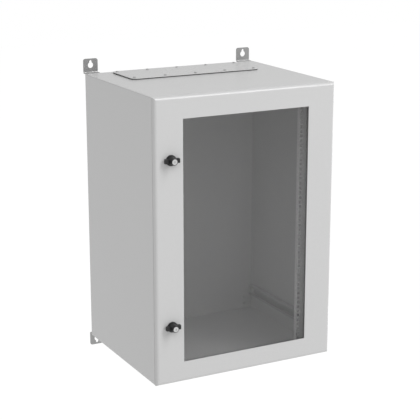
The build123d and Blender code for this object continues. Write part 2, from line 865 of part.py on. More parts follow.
# Earth studs on the floor and on the door, each with a washer-faced nut
floor_z = bottom_z + sheet
body_earth = (body_earth_from_side - width / 2, front_y + body_earth_back)
with BuildPart() as body_earth_stud:
    with BuildSketch(level(floor_z)):
        with Locations(body_earth):
            Circle(body_earth_r)
    extrude(amount=body_earth_long)
save(body_earth_stud, "body_earth_stud")

with BuildPart() as body_earth_nut:
    with BuildSketch(level(floor_z)):
        with Locations(body_earth):
            Circle(body_washer_r)
    extrude(amount=body_washer)
    with BuildSketch(level(floor_z + body_washer)):
        with Locations(body_earth):
            RegularPolygon(body_earth_nut_r, 6, major_radius=False)
    extrude(amount=body_earth_nut_thick)
    with BuildSketch(level(floor_z)):
        with Locations(body_earth):
            Circle(body_earth_r + thread_play)
    extrude(amount=body_washer + body_earth_nut_thick, mode=Mode.SUBTRACT)
save(body_earth_nut, "body_earth_nut")

door_earth = (width / 2 - door_earth_from_side, bottom_z + door_earth_up)
with BuildPart() as door_earth_stud:
    with BuildSketch(facing(door_inner_y)):
        with Locations(door_earth):
            Circle(m6_r)
    extrude(amount=-door_earth_long)
save(door_earth_stud, "door_earth_stud")

with BuildPart() as door_earth_nut:
    with BuildSketch(facing(door_inner_y)):
        with Locations(door_earth):
            Circle(door_washer_r)
    extrude(amount=-door_washer)
    with BuildSketch(facing(door_inner_y + door_washer)):
        with Locations(door_earth):
            RegularPolygon(m6_head_r, 6, major_radius=False)
    extrude(amount=-door_earth_nut_thick)
    with BuildSketch(facing(door_inner_y)):
        with Locations(door_earth):
            Circle(m6_r + thread_play)
    extrude(amount=-(door_washer + door_earth_nut_thick), mode=Mode.SUBTRACT)
save(door_earth_nut, "door_earth_nut")
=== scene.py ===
# %% [markdown]
# # Dressing a glazed wall cabinet
#
# The cabinet is sheet metal: a folded box, a folded door with a tall window, two quarter-turn
# locks and four hanging brackets. The CAD model already has every fold and hole at its real size,
# so nothing is remodelled that looks right as it is. Blender adds what CAD leaves plain: the skin
# of each metal, the foamed seal, the threads and recesses of the small fasteners, and the light.

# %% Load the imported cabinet
import json
import math
from functools import partial

import bmesh
import bpy
import numpy as np
from mathutils import Matrix, Vector

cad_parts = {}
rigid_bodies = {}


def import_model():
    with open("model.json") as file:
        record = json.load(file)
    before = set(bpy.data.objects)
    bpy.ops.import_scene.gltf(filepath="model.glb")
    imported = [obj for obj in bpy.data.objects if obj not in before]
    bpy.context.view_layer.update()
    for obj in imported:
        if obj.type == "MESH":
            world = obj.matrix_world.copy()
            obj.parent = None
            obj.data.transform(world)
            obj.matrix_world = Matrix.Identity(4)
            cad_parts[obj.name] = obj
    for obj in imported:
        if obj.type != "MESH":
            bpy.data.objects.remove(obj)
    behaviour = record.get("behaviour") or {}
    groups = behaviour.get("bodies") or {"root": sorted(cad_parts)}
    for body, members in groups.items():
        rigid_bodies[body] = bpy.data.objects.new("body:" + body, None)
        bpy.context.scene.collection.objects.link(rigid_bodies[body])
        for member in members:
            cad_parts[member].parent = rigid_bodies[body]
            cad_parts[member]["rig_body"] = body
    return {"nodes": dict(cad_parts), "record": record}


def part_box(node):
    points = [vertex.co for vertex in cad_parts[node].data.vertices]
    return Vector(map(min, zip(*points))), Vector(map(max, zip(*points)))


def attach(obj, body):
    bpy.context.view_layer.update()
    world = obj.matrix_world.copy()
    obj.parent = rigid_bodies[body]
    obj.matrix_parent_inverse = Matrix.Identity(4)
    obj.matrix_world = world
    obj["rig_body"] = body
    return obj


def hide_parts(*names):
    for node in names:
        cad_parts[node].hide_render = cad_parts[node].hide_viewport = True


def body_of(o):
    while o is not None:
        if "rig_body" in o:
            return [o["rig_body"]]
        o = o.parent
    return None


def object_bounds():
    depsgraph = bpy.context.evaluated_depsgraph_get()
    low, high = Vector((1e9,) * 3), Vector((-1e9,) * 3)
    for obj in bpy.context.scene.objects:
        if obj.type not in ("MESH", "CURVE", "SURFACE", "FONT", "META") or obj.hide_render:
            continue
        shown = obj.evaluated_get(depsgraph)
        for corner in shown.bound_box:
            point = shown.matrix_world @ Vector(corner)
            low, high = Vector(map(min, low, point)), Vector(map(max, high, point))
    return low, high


def in_mm(metres):
    """A point or a size in millimetres, rounded for printing."""
    return [round(1000 * value, 1) for value in metres]


for leftover in list(bpy.data.objects):
    bpy.data.objects.remove(leftover)
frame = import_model()
nodes = frame["nodes"]
scene = bpy.context.scene
cad_low, cad_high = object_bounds()
print("cabinet box in mm:", in_mm(cad_high - cad_low))

# %% [markdown]
# ## Camera
#
# A camera's place is found from things of known size. The equipment holes behind the window
# repeat at a standard pitch, and together with the cabinet's corners they fix where the
# photographer stood: left of the door, a little above the roof, with a long lens. A long lens
# keeps the folds nearly parallel, as they are in a catalogue picture.

# %% Camera
lens_mm, sensor_mm = 109.03, 36.0
nearest_seen, farthest_seen = 0.05, 60.0
degrees_down, degrees_right = 14.97, 27.88
camera_data = bpy.data.cameras.new("camera")
camera_data.lens, camera_data.sensor_width = lens_mm, sensor_mm
camera_data.clip_start, camera_data.clip_end = nearest_seen, farthest_seen
camera = bpy.data.objects.new("camera", camera_data)
scene.collection.objects.link(camera)
camera.location = (-1.7902, -3.6691, 0.5885)
camera.rotation_euler = (math.radians(90 - degrees_down), 0, math.radians(-degrees_right))
scene.camera = camera
print("camera at", [round(v, 2) for v in camera.location])

# %% [markdown]
# ## Studio: surrounding light
#
# Pale powder coat shows its form by small differences of light, so the studio is soft. An even
# surround gives about half of it. The level differs by the kind of ray, as black cloths and white
# walls would make it in a real studio: plain white where the camera looks past the cabinet, just
# below white behind the glass, and less in reflections, so that the roof, which is seen at a low
# angle and mirrors the room behind it, does not glare. The matte faces get least of all, because
# the softboxes and the pale floor light them too.

# %% Surround
ambient, mirrored, through, seen = 0.435, 0.70, 0.9, 1.0
world = bpy.data.worlds.new("studio")
scene.world = world
world.use_nodes = True
sky = world.node_tree
sky.nodes.clear()
sky_out = sky.nodes.new("ShaderNodeOutputWorld")
sky_light = sky.nodes.new("ShaderNodeBackground")
sky_rays = sky.nodes.new("ShaderNodeLightPath")
level = ambient
for kind, value in (("Is Glossy Ray", mirrored), ("Is Transmission Ray", through), ("Is Camera Ray", seen)):
    choice = sky.nodes.new("ShaderNodeMix")
    choice.inputs["B"].default_value = value
    sky.links.new(sky_rays.outputs[kind], choice.inputs["Factor"])
    if isinstance(level, float):
        choice.inputs["A"].default_value = level
    else:
        sky.links.new(level, choice.inputs["A"])
    level = choice.outputs["Result"]
sky.links.new(level, sky_light.inputs["Strength"])
sky_light.inputs["Color"].default_value = (1, 1, 1, 1)
sky.links.new(sky_light.outputs[0], sky_out.inputs["Surface"])
print("surround on matte faces", ambient, "and in reflections", mirrored)

# %% [markdown]
# ## Studio: two softboxes
#
# The bend along the top of the door carries a bright line, as tall as the bend lets it be, while
# the bend down the left side carries none. A tall box of light to the right, in front and above
# gives both: the top bend mirrors its whole height, and the left bend looks away from it. Alone it
# would throw the knobs' shadows hard to the left and leave the left side flat. A broad and much
# weaker box high on the left opens those shadows, and that side stays a quarter darker than the
# door. One box overhead would light the roof more than the door, which a catalogue picture avoids.


# %% Softboxes
def softbox(name, place, target, wide, tall, watts):
    """A rectangular soft light that looks from its place at a target."""
    data = bpy.data.lights.new(name, "AREA")
    data.shape = "RECTANGLE"
    data.size, data.size_y = wide, tall
    data.energy = watts
    lamp = bpy.data.objects.new(name, data)
    scene.collection.objects.link(lamp)
    lamp.location = place
    aim = Vector(target) - Vector(place)
    lamp.rotation_euler = aim.to_track_quat("-Z", "Y").to_euler()
    print(name, "at", place, "with", watts, "W")


softbox("key_softbox", place=(2.88, -4.25, 4.11), target=(0.0, -0.5, -0.2), wide=1.7, tall=5.2, watts=241)
softbox("left_softbox", place=(-3.0, -4.0, 3.6), target=(0.0, -0.4, -0.3), wide=3.6, tall=3.6, watts=62)

# %% [markdown]
# ## Floor
#
# The cabinet hangs on a wall, so the floor lies a metre below it. To the eye it is white, partly
# by its own paint and partly by a glow that does not depend on the lamps; the painted share still
# takes the cabinet's soft shadow. Bright zinc mirrors it, which is why the lower brackets look
# lighter than the upper ones: those mirror only the roof. Matte faces get a smaller share of the
# glow, enough to lift the bends under the door as a pale floor does.

# %% Floor sheet
hangs_above_floor, reach = 1.0, 14.0
floor_z = cad_low.z - hangs_above_floor
floor_corners = ((-reach, -reach), (reach, -reach), (reach, reach), (-reach, reach))
floor_mesh = bpy.data.meshes.new("studio_floor")
floor_mesh.from_pydata([(x, y, floor_z) for x, y in floor_corners], [], [(0, 1, 2, 3)])
floor = bpy.data.objects.new("studio_floor", floor_mesh)
scene.collection.objects.link(floor)
print("floor at", round(floor_z, 2), "m")

# %% Floor paint
floor_white, glow_strength = 0.9, 1.07
glow_on_matte, glow_when_seen = 0.3, 0.9
floor_paint = bpy.data.materials.new("studio_floor_white")
floor_paint.use_nodes = True
tree = floor_paint.node_tree
tree.nodes.clear()
out = tree.nodes.new("ShaderNodeOutputMaterial")
matte = tree.nodes.new("ShaderNodeBsdfDiffuse")
matte.inputs["Color"].default_value = (floor_white, floor_white, floor_white, 1)
glow = tree.nodes.new("ShaderNodeEmission")
glow.inputs["Strength"].default_value = glow_strength
rays = tree.nodes.new("ShaderNodeLightPath")
straight = tree.nodes.new("ShaderNodeMath")
straight.operation = "MAXIMUM"
either = tree.nodes.new("ShaderNodeMath")
either.operation = "MAXIMUM"
share = tree.nodes.new("ShaderNodeMapRange")
share.inputs["To Min"].default_value = glow_on_matte
share.inputs["To Max"].default_value = glow_when_seen
both = tree.nodes.new("ShaderNodeMixShader")
tree.links.new(rays.outputs["Is Camera Ray"], straight.inputs[0])
tree.links.new(rays.outputs["Is Transmission Ray"], straight.inputs[1])
tree.links.new(straight.outputs[0], either.inputs[0])
tree.links.new(rays.outputs["Is Glossy Ray"], either.inputs[1])
tree.links.new(either.outputs[0], share.inputs["Value"])
tree.links.new(share.outputs[0], both.inputs["Fac"])
tree.links.new(matte.outputs[0], both.inputs[1])
tree.links.new(glow.outputs[0], both.inputs[2])
tree.links.new(both.outputs[0], out.inputs["Surface"])
floor_mesh.materials.append(floor_paint)
print("floor glow is", glow_when_seen, "of what is seen and", glow_on_matte, "of what lights matte faces")

# %% [markdown]
# ## A grain for sheet and castings
#
# Powder coat is not flat: the melted powder leaves a fine skin like orange peel, a millimetre or
# so across, and its tone drifts a little over a large sheet. Zinc, rubber and castings need the
# same two things at other sizes, so one node group makes them: a slow drift of tone and a fine
# grain, both from noise in Object coordinates, which stay put on the metal when a door swings.


# %% Sockets of the grain group
def socket(tree, name, kind, way, value=None):
    """Adds one named input or output to a node group."""
    made = tree.interface.new_socket(name=name, in_out=way, socket_type=kind)
    if value is not None:
        made.default_value = value


grain_group = bpy.data.node_groups.new("sheet_grain", "ShaderNodeTree")
socket(grain_group, "Colour", "NodeSocketColor", "INPUT", (0.6, 0.6, 0.6, 1))
socket(grain_group, "Drift", "NodeSocketFloat", "INPUT", 0.02)
socket(grain_group, "Drift Scale", "NodeSocketFloat", "INPUT", 6.0)
socket(grain_group, "Grain", "NodeSocketFloat", "INPUT", 0.03)
socket(grain_group, "Grain Scale", "NodeSocketFloat", "INPUT", 900.0)
socket(grain_group, "Roughness", "NodeSocketFloat", "INPUT", 0.5)
socket(grain_group, "Rough Spread", "NodeSocketFloat", "INPUT", 0.05)
socket(grain_group, "Colour", "NodeSocketColor", "OUTPUT")
socket(grain_group, "Roughness", "NodeSocketFloat", "OUTPUT")
socket(grain_group, "Height", "NodeSocketFloat", "OUTPUT")
print("grain group has", len(grain_group.interface.items_tree), "sockets")

# %% Noise in the grain group
grain_in = grain_group.nodes.new("NodeGroupInput")
grain_out = grain_group.nodes.new("NodeGroupOutput")
on_metal = grain_group.nodes.new("ShaderNodeTexCoord")
slow = grain_group.nodes.new("ShaderNodeTexNoise")
slow.inputs["Detail"].default_value = 2.0
fine = grain_group.nodes.new("ShaderNodeTexNoise")
fine.inputs["Detail"].default_value = 3.0
link = grain_group.links.new
link(on_metal.outputs["Object"], slow.inputs["Vector"])
link(grain_in.outputs["Drift Scale"], slow.inputs["Scale"])
link(on_metal.outputs["Object"], fine.inputs["Vector"])
link(grain_in.outputs["Grain Scale"], fine.inputs["Scale"])


def spread(noise, amount, level):
    """Noise from 0 to 1 as a swing of plus or minus an amount about a level."""
    swing = grain_group.nodes.new("ShaderNodeMapRange")
    swing.inputs["To Min"].default_value = -1.0
    swing.inputs["To Max"].default_value = 1.0
    link(noise, swing.inputs["Value"])
    times = grain_group.nodes.new("ShaderNodeMath")
    times.operation = "MULTIPLY_ADD"
    link(swing.outputs["Result"], times.inputs[0])
    link(amount, times.inputs[1])
    if isinstance(level, float):
        times.inputs[2].default_value = level
    else:
        link(level, times.inputs[2])
    return times.outputs[0]


tone = spread(slow.outputs["Fac"], grain_in.outputs["Drift"], 1.0)
tone = spread(fine.outputs["Fac"], grain_in.outputs["Grain"], tone)
rough = spread(fine.outputs["Fac"], grain_in.outputs["Rough Spread"], grain_in.outputs["Roughness"])
shade = grain_group.nodes.new("ShaderNodeVectorMath")
shade.operation = "SCALE"
link(grain_in.outputs["Colour"], shade.inputs[0])
link(tone, shade.inputs["Scale"])
link(shade.outputs[0], grain_out.inputs["Colour"])
link(rough, grain_out.inputs["Roughness"])
link(fine.outputs["Fac"], grain_out.inputs["Height"])
print("grain group has", len(grain_group.nodes), "nodes")


# %% [markdown]
# ## Finishes
#
# Each finish is one Principled shader fed by the grain group. A skin says how much the tone
# drifts, how strong and fine the grain is, and how high it stands: hundredths of a millimetre on
# paint, more on foam and castings. The finish adds the colour, the gloss and whether it is metal.

# %% Skins
# drift of the tone and its cells in a metre, grain and its cells in a metre, grain's height in metres
skins = {
    "powder coat": (0.008, 5.0, 0.008, 900.0, 0.00001),
    "zinc crystals": (0.05, 30.0, 0.05, 350.0, 0.00002),
    "bracket plating": (0.06, 40.0, 0.06, 400.0, 0.00002),
    "cam plating": (0.04, 60.0, 0.05, 500.0, 0.00002),
    "screw plating": (0.04, 80.0, 0.04, 700.0, 0.00002),
    "bright steel": (0.03, 80.0, 0.04, 700.0, 0.00002),
    "casting": (0.05, 40.0, 0.10, 900.0, 0.00006),
    "moulded plastic": (0.05, 40.0, 0.10, 1500.0, 0.00003),
    "satin metal": (0.03, 60.0, 0.04, 1200.0, 0.00002),
    "rubber": (0.08, 60.0, 0.12, 900.0, 0.00003),
    "foam": (0.10, 60.0, 0.25, 1400.0, 0.00015),
}
print(len(skins), "skins listed")

# %% A helper for the finishes
ROUGH_SPREAD = 0.04


def finish(name, skin, colour, roughness, metallic=0.0, specular=0.5):
    """A material whose colour, roughness and bump come from the grain group."""
    drift, drift_scale, grain, grain_scale, bump = skins[skin]
    made = bpy.data.materials.new(name)
    made.use_nodes = True
    tree = made.node_tree
    shader = tree.nodes["Principled BSDF"]
    shader.inputs["Metallic"].default_value = metallic
    shader.inputs["Specular IOR Level"].default_value = specular
    surface = tree.nodes.new("ShaderNodeGroup")
    surface.node_tree = grain_group
    surface.inputs["Colour"].default_value = (*colour, 1)
    surface.inputs["Drift"].default_value = drift
    surface.inputs["Drift Scale"].default_value = drift_scale
    surface.inputs["Grain"].default_value = grain
    surface.inputs["Grain Scale"].default_value = grain_scale
    surface.inputs["Roughness"].default_value = roughness
    surface.inputs["Rough Spread"].default_value = ROUGH_SPREAD
    ridge = tree.nodes.new("ShaderNodeBump")
    ridge.inputs["Distance"].default_value = bump
    ridge.inputs["Strength"].default_value = 1.0
    tree.links.new(surface.outputs["Colour"], shader.inputs["Base Color"])
    tree.links.new(surface.outputs["Roughness"], shader.inputs["Roughness"])
    tree.links.new(surface.outputs["Height"], ridge.inputs["Height"])
    tree.links.new(ridge.outputs["Normal"], shader.inputs["Normal"])
    return made


def grey(level):
    """A colour without a hue."""
    return (level, level, level)


# %% [markdown]
# ## Paint and metal
#
# Box, door and cover plate have one pale coat. The depth rails have the same coat, but their grey is
# set darker than the sheet they are welded to, as painted shade for the shadow round them inside the
# cabinet. Plated screws and brackets are metal to the eye. The rack profiles are not: the crystals on
# hot-dipped zinc scatter light every way, so a pale and rough paint comes nearer than a metal would.

# %% Paint and metal
paint = partial(finish, skin="powder coat", roughness=0.27)
finishes = {
    "body_paint": paint("body_powder_coat", colour=grey(0.61)),
    "door_paint": paint("door_powder_coat", colour=grey(0.61)),
    "plate_paint": paint("plate_powder_coat", colour=grey(0.60)),
    # the rails' grey is darker than the sheet's: painted shade for the shadow round them
    "rail_paint": paint("rail_coat_painted_shade", colour=grey(0.48)),
    "profile_zinc": finish("profile_galvanised", "zinc crystals", grey(0.80), 0.50),
    "strip_zinc": finish("strip_galvanised", "zinc crystals", (0.50, 0.51, 0.52), 0.38, metallic=0.9),
    "bracket_zinc": finish("bracket_plating", "bracket plating", grey(0.36), 0.40, metallic=1.0),
    "cam_steel": finish("cam_zinc", "cam plating", (0.52, 0.53, 0.54), 0.35, metallic=0.95),
    "fastener_steel": finish("fastener_zinc", "screw plating", (0.58, 0.59, 0.60), 0.30, metallic=1.0),
    "gland_screw_steel": finish("gland_screw_zinc", "screw plating", grey(0.36), 0.45, metallic=1.0),
    "pin_steel": finish("pin_bright_steel", "bright steel", (0.55, 0.55, 0.56), 0.25, metallic=1.0),
    "hinge_metal": finish("hinge_casting", "casting", (0.20, 0.205, 0.21), 0.55, metallic=0.6),
    "lock_metal": finish("lock_core_satin", "satin metal", grey(0.62), 0.40, metallic=0.35),
}
print(len(finishes), "paints and metals made")

# %% [markdown]
# ## Plastic, rubber and foam
#
# The lock knobs are black moulded plastic. The window's seal is a grey extruded profile, the cover
# plate lies on soft black cell rubber, and the door's seal is foam, which hardly shines at all.

# %% Plastic, rubber and foam
finishes["lock_plastic"] = finish(
    "lock_black_plastic", "moulded plastic", (0.0135, 0.0135, 0.0145), 0.42, specular=0.42)
finishes["rubber_seal"] = finish("seal_rubber", "rubber", grey(0.17), 0.60)
finishes["foam_seal"] = finish("seal_foam", "foam", grey(0.012), 0.85, specular=0.25)
gasket_black = finish("gasket_cell_rubber", "rubber", grey(0.012), 0.80, specular=0.2)
print(len(finishes), "finishes for material slots, and one for the gasket")

# %% [markdown]
# ## Smoked glass
#
# The pane is toughened glass with a grey tint. Glass is a transmission shader with a low
# roughness; rays from lamps pass it by a Transparent shader, because a lamp is not seen through
# bent rays and the inside of the cabinet would stay black. A ray meets both faces of the sheet,
# so each colour below acts twice: the tint that is seen is its square.

# %% Pane material
eye_tint, lamp_tint = grey(0.745), grey(0.40)
pane_glass = bpy.data.materials.new("smoked_glass")
pane_glass.use_nodes = True
tree = pane_glass.node_tree
shader = tree.nodes["Principled BSDF"]
shader.inputs["Base Color"].default_value = (*eye_tint, 1)
shader.inputs["Roughness"].default_value = 0.03
shader.inputs["IOR"].default_value = 1.52
shader.inputs["Transmission Weight"].default_value = 1.0
clear = tree.nodes.new("ShaderNodeBsdfTransparent")
clear.inputs["Color"].default_value = (*lamp_tint, 1)
rays = tree.nodes.new("ShaderNodeLightPath")
pass_by = tree.nodes.new("ShaderNodeMixShader")
out = tree.nodes["Material Output"]
tree.links.new(rays.outputs["Is Shadow Ray"], pass_by.inputs["Fac"])
tree.links.new(shader.outputs[0], pass_by.inputs[1])
tree.links.new(clear.outputs[0], pass_by.inputs[2])
tree.links.new(pass_by.outputs[0], out.inputs["Surface"])
finishes["pane"] = pane_glass
print("pane tint through both faces", round(eye_tint[0] ** 2, 3))

# %% [markdown]
# ## Put the finishes on
#
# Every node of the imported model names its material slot. Its own mesh stays as it is; only the
# material in it changes. One slot covers two rubbers, so the cover plate's gasket is told apart
# by its name.

# %% Finishes on the nodes
slot_of = {part["node"]: part["material_slot"] for part in frame["record"]["subparts"]}
for name, piece in nodes.items():
    piece.data.materials.clear()
    piece.data.materials.append(gasket_black if name == "top_gland_seal" else finishes[slot_of[name]])
print(len(nodes), "nodes have their finish")

# %% [markdown]
# ## Small fasteners: where they sit
#
# In the CAD model each screw and nut is a plain turned or six-sided solid at its true place. The
# real ones have threads, recesses and chamfers. All screws of one kind share one shape, so the
# shape is made once and repeated on points. The points come from the CAD solids themselves: the
# box round each loose solid gives its seat.


# %% Loose solids of a node
def solids_in(name):
    """Lowest and highest corner of each separate solid in a CAD node."""
    probe = bmesh.new()
    probe.from_mesh(nodes[name].data)
    bmesh.ops.remove_doubles(probe, verts=probe.verts, dist=1e-6)
    waiting, found = set(probe.verts), []
    while waiting:
        start = waiting.pop()
        reached, todo = [start.co.copy()], [start]
        while todo:
            vertex = todo.pop()
            for edge in vertex.link_edges:
                other = edge.other_vert(vertex)
                if other in waiting:
                    waiting.discard(other)
                    reached.append(other.co.copy())
                    todo.append(other)
        found.append((Vector(map(min, zip(*reached))), Vector(map(max, zip(*reached)))))
    probe.free()
    return sorted(found, key=lambda pair: [round(value, 4) for value in pair[0]])


print("solids in the roof screws' node:", len(solids_in("top_gland_screws")))

# %% Seats of the fasteners
upward, to_wall, to_door = Vector((0, 0, 1)), Vector((0, 1, 0)), Vector((0, -1, 0))


def to_middle(centre):
    """The way across the cabinet: right from the left half, left from the right half."""
    return Vector((-math.copysign(1, centre.x), 0, 0))


def seats(name, way, head_height):
    """Points under the heads: each solid's far end along way, less the head's height."""
    made = []
    for low_corner, high_corner in solids_in(name):
        centre = (low_corner + high_corner) / 2
        toward = way(centre) if callable(way) else way
        half = abs((high_corner - low_corner).dot(toward)) / 2
        made.append((centre + toward * (half - head_height), toward))
    return made


print("ends of the roof screws, the first:", in_mm(seats("top_gland_screws", upward, 0.0)[0][0]))

# %% [markdown]
# ## Building a tree by hand
#
# A Geometry Nodes tree is a row of small steps, and each step has its settings and its wires. A
# few helpers keep the trees below short enough to read: one makes a node, one does a sum, one
# lifts a shape by a share of its height, one moves points in or out and up or down, and one joins
# shapes.

# %% Helpers for geometry trees
LENGTH, COUNT = "NodeSocketFloat", "NodeSocketInt"
FULL_TURN = 2 * math.pi


def geometry_tree(name, *inputs):
    """A new geometry tree with named inputs, and its two end nodes."""
    tree = bpy.data.node_groups.new(name, "GeometryNodeTree")
    for label, kind, value in inputs:
        socket(tree, label, kind, "INPUT", value)
    socket(tree, "Geometry", "NodeSocketGeometry", "OUTPUT")
    return tree, tree.nodes.new("NodeGroupInput"), tree.nodes.new("NodeGroupOutput")


def step(tree, kind, settings=None, **wires):
    """One node: its settings, and each input, by name or as n0, n1, given a value or an output."""
    made = tree.nodes.new(kind)
    for key, value in (settings or {}).items():
        setattr(made, key, value)
    for key, value in wires.items():
        name = key.replace("_", " ")
        target = made.inputs[int(name[1:])] if name[1:].isdigit() else made.inputs[name]
        if isinstance(value, bpy.types.NodeSocket):
            tree.links.new(value, target)
        else:
            target.default_value = value
    return made


def reckon(tree, operation, *values):
    """The result of a math node on up to three numbers or outputs."""
    wires = {f"n{index}": value for index, value in enumerate(values)}
    return step(tree, "ShaderNodeMath", {"operation": operation}, **wires).outputs[0]


# %% Helpers that move shapes and points
def lifted(tree, shape, height, share):
    """A shape moved up by a share of a height."""
    rise = step(tree, "ShaderNodeCombineXYZ", Z=reckon(tree, "MULTIPLY", height, share))
    return step(tree, "GeometryNodeTransform", Geometry=shape, Translation=rise.outputs[0]).outputs[0]


def place_of(tree):
    """Outputs x, y and z of the point being moved."""
    here = step(tree, "GeometryNodeInputPosition")
    return step(tree, "ShaderNodeSeparateXYZ", Vector=here.outputs[0]).outputs


def moved(tree, shape, scale, height):
    """Points moved to their x and y times scale, and to a new height."""
    x, y, z = place_of(tree)
    spot = step(tree, "ShaderNodeCombineXYZ", X=reckon(tree, "MULTIPLY", x, scale),
                Y=reckon(tree, "MULTIPLY", y, scale), Z=height)
    return step(tree, "GeometryNodeSetPosition", Geometry=shape, Position=spot.outputs[0]).outputs[0]


def joined(tree, *shapes):
    """Several shapes as one."""
    together = step(tree, "GeometryNodeJoinGeometry")
    for shape in shapes:
        tree.links.new(shape, together.inputs[0])
    return together.outputs[0]


# %% [markdown]
# ## A thread as a node group
#
# A thread is a ridge that climbs by one pitch in each turn. A cylinder with four rings for each
# pitch takes that form if every point's radius follows a zigzag of its height plus its share of
# the turn. The group is used by screws and studs alike.

# %% Threaded rod
thread_sides, rings_in_pitch, zigzag_height, ridge_depth = 12, 4.0, 0.5, 0.3
thread_tree, thread_in, thread_out = geometry_tree(
    "threaded_rod", ("Radius", LENGTH, 0.003), ("Length", LENGTH, 0.01), ("Pitch", LENGTH, 0.001))
node, number = partial(step, thread_tree), partial(reckon, thread_tree)
radius, length, pitch = (thread_in.outputs[label] for label in ("Radius", "Length", "Pitch"))
rings = number("MULTIPLY", number("DIVIDE", length, pitch), rings_in_pitch)
rod = node("GeometryNodeMeshCylinder", Vertices=thread_sides, Side_Segments=rings, Radius=radius,
           Depth=length)
rod = lifted(thread_tree, rod.outputs["Mesh"], length, -0.5)
x, y, z = place_of(thread_tree)
turn = number("DIVIDE", number("ARCTAN2", y, x), FULL_TURN)
climb = number("ADD", turn, number("DIVIDE", z, pitch))
ridge = number("MULTIPLY_ADD", number("PINGPONG", climb, zigzag_height), -ridge_depth, 1.0)
thread_tree.links.new(moved(thread_tree, rod, ridge, z), thread_out.inputs[0])
print("thread group:", len(thread_tree.nodes), "nodes")

# %% [markdown]
# ## Ending every tree alike
#
# A fastener tree has to turn its shape so that the head looks along the point's own direction,
# spin it by a seeded amount, since no fitter leaves two recesses in line, make the instances
# real, sharpen the edges and set the material.

# %% The inputs that all fastener trees share
SHARED = (("Geometry", "NodeSocketGeometry", None), ("Material", "NodeSocketMaterial", None),
          ("Shank Radius", LENGTH, 0.0025), ("Shank Length", LENGTH, 0.01), ("Pitch", LENGTH, 0.0008),
          ("Seed", COUNT, 1))
SHARP_FROM = math.radians(35)


def shank_of(tree, start):
    """The thread group, fed by a fastener tree's own inputs."""
    given = start.outputs
    rod = step(tree, "GeometryNodeGroup", {"node_tree": thread_tree}, Radius=given["Shank Radius"],
               Length=given["Shank Length"], Pitch=given["Pitch"])
    return rod.outputs[0]


# %% The common end of the fastener trees
def repeat_on_points(tree, start, end, shape):
    """Puts the shape on the incoming points, along their way, and finishes the mesh."""
    node = partial(step, tree)
    way = node("GeometryNodeInputNamedAttribute", {"data_type": "FLOAT_VECTOR"}, Name="way")
    along = node("FunctionNodeAlignRotationToVector", {"axis": "Z"}, Vector=way.outputs[0])
    chance = node("FunctionNodeRandomValue", {"data_type": "FLOAT"}, n3=FULL_TURN,
                  Seed=start.outputs["Seed"])
    about = node("ShaderNodeCombineXYZ", Z=chance.outputs[1])
    spin = node("FunctionNodeEulerToRotation", Euler=about.outputs[0])
    turned = node("FunctionNodeRotateRotation", {"rotation_space": "LOCAL"},
                  Rotation=along.outputs[0], Rotate_By=spin.outputs[0])
    many = node("GeometryNodeInstanceOnPoints", Points=start.outputs["Geometry"],
                Instance=shape, Rotation=turned.outputs[0])
    real = node("GeometryNodeRealizeInstances", Geometry=many.outputs[0])
    angle = node("GeometryNodeInputMeshEdgeAngle")
    soft = reckon(tree, "LESS_THAN", angle.outputs[0], SHARP_FROM)
    smooth = node("GeometryNodeSetShadeSmooth", {"domain": "FACE"}, Geometry=real.outputs[0])
    edges = node("GeometryNodeSetShadeSmooth", {"domain": "EDGE"}, Geometry=smooth.outputs[0],
                 Shade_Smooth=soft)
    painted = node("GeometryNodeSetMaterial", Geometry=edges.outputs[0], Material=start.outputs["Material"])
    tree.links.new(painted.outputs[0], end.inputs[0])


# %% [markdown]
# ## From a tree to a plain mesh
#
# The export drops instances, and each piece has to move with its own body. So a tree is run once on
# its points, and the result is kept as an ordinary mesh that rides on the body of the CAD solid it
# stands for. The modifier is then taken off.


# %% Running a tree
def grow(tree, points, name, slot, replaced, **sizes):
    """Runs a tree on points and keeps one plain mesh that stands for a CAD node."""
    mesh = bpy.data.meshes.new(name)
    mesh.from_pydata([seat for seat, way in points], [], [])
    ways = mesh.attributes.new("way", "FLOAT_VECTOR", "POINT")
    ways.data.foreach_set("vector", np.ravel([way for seat, way in points]))
    piece = bpy.data.objects.new(name, mesh)
    scene.collection.objects.link(piece)
    modifier = piece.modifiers.new("grow", "NODES")
    modifier.node_group = tree
    given = {label.replace("_", " "): value for label, value in sizes.items()}
    given["Material"] = finishes[slot]
    for item in tree.interface.items_tree:
        if item.in_out == "INPUT" and item.name in given:
            modifier[item.identifier] = given[item.name]
    ready = piece.evaluated_get(bpy.context.evaluated_depsgraph_get())
    piece.data = bpy.data.meshes.new_from_object(ready)
    piece.modifiers.clear()
    piece.data.materials.clear()
    piece.data.materials.append(finishes[slot])
    piece.data.polygons.foreach_set("material_index", [0] * len(piece.data.polygons))
    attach(piece, body_of(nodes[replaced])[0])
    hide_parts(replaced)
    print(name, "x", len(points), "has", len(piece.data.polygons), "faces")
    return piece


def fasten(tree, name, replaced, way, head_height, slot="fastener_steel", **sizes):
    """Fasteners on every seat of the CAD node that they stand for."""
    grow(tree, seats(replaced, way, head_height), name, slot, replaced, Head_Height=head_height, **sizes)


# %% [markdown]
# ## Round-headed screws with a cross recess
#
# The cover plate on the roof, the rack profiles and the hinge arms are held by pan-head screws.
# The head is a short cylinder whose sides lean in and whose top is crowned; the recess is cut by
# two crossed blocks with a boolean, as a punch would press it in.

